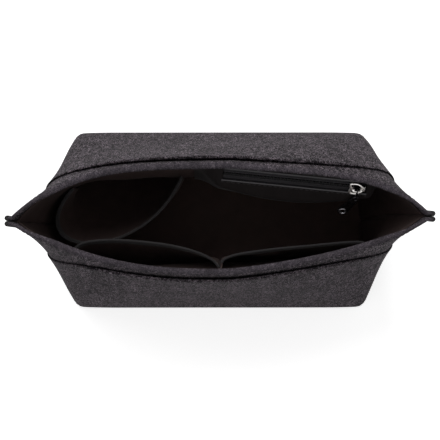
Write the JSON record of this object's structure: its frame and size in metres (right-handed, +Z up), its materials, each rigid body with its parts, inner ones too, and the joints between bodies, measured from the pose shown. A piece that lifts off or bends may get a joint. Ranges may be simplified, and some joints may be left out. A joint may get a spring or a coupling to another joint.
{
  "type": "purse organizer insert",
  "caption": "Boxed-bottom felt organizer pouch with a lens-shaped mouth, outer slip pockets, lined inner pockets and a zipped pocket, dropped into a handbag.",
  "frame": {"origin": "middle of the underside of the base, on the surface it stands on", "axes": "+X to the right along the pouch, from seam to seam; +Y to the back wall that carries the zip; +Z up"},
  "size_m": [0.2868, 0.1358, 0.15],
  "materials": {
    "felt": "charcoal heather needle felt",
    "lining": "smooth black woven lining",
    "tape": "black woven tape",
    "zip_teeth": "black moulded nylon",
    "slider_metal": "bright nickel plate",
    "pull_metal": "black nickel"
  },
  "bodies": {
    "pouch": {"front_wall": "felt", "back_wall": "felt", "base_panel": "felt", "front_outer_pocket": "felt", "back_outer_pocket": "felt", "base_lining": "lining", "front_lining": "lining", "back_lining": "lining", "bottle_pocket": "lining", "front_left_pocket": "lining", "front_right_pocket": "lining", "zip_pocket_panel": "lining", "left_front_binding": "tape", "left_back_binding": "tape", "right_front_binding": "tape", "right_back_binding": "tape", "bottle_pocket_binding": "tape", "front_left_pocket_binding": "tape", "front_right_pocket_binding": "tape", "zip_tape_upper": "tape", "zip_tape_lower": "tape", "zip_teeth_upper": "zip_teeth", "zip_teeth_lower": "zip_teeth"},
    "slider": {"slider": "slider_metal"},
    "link": {"pull_link": "pull_metal"},
    "tab": {"pull_tab": "pull_metal"}
  },
  "joints": [
    {"name": "slider_slide", "type": "slide", "parent": "pouch", "child": "slider", "axis": [-0.995, 0.1003, 0], "range_m": [0, 0.084], "deforming": ["zip_teeth_upper", "zip_teeth_lower"]},
    {"name": "pull_swing", "type": "hinge", "parent": "slider", "child": "link", "pos_m": [0.09283, 0.01806, 0.1344], "axis": [-0.995, 0.1003, 0], "range_deg": [0, 140]},
    {"name": "tab_swivel", "type": "hinge", "parent": "link", "child": "tab", "pos_m": [0.09239, 0.01361, 0.12801], "axis": [-0.0822, -0.815, 0.5736], "range_deg": [-15, 60]}
  ]
}
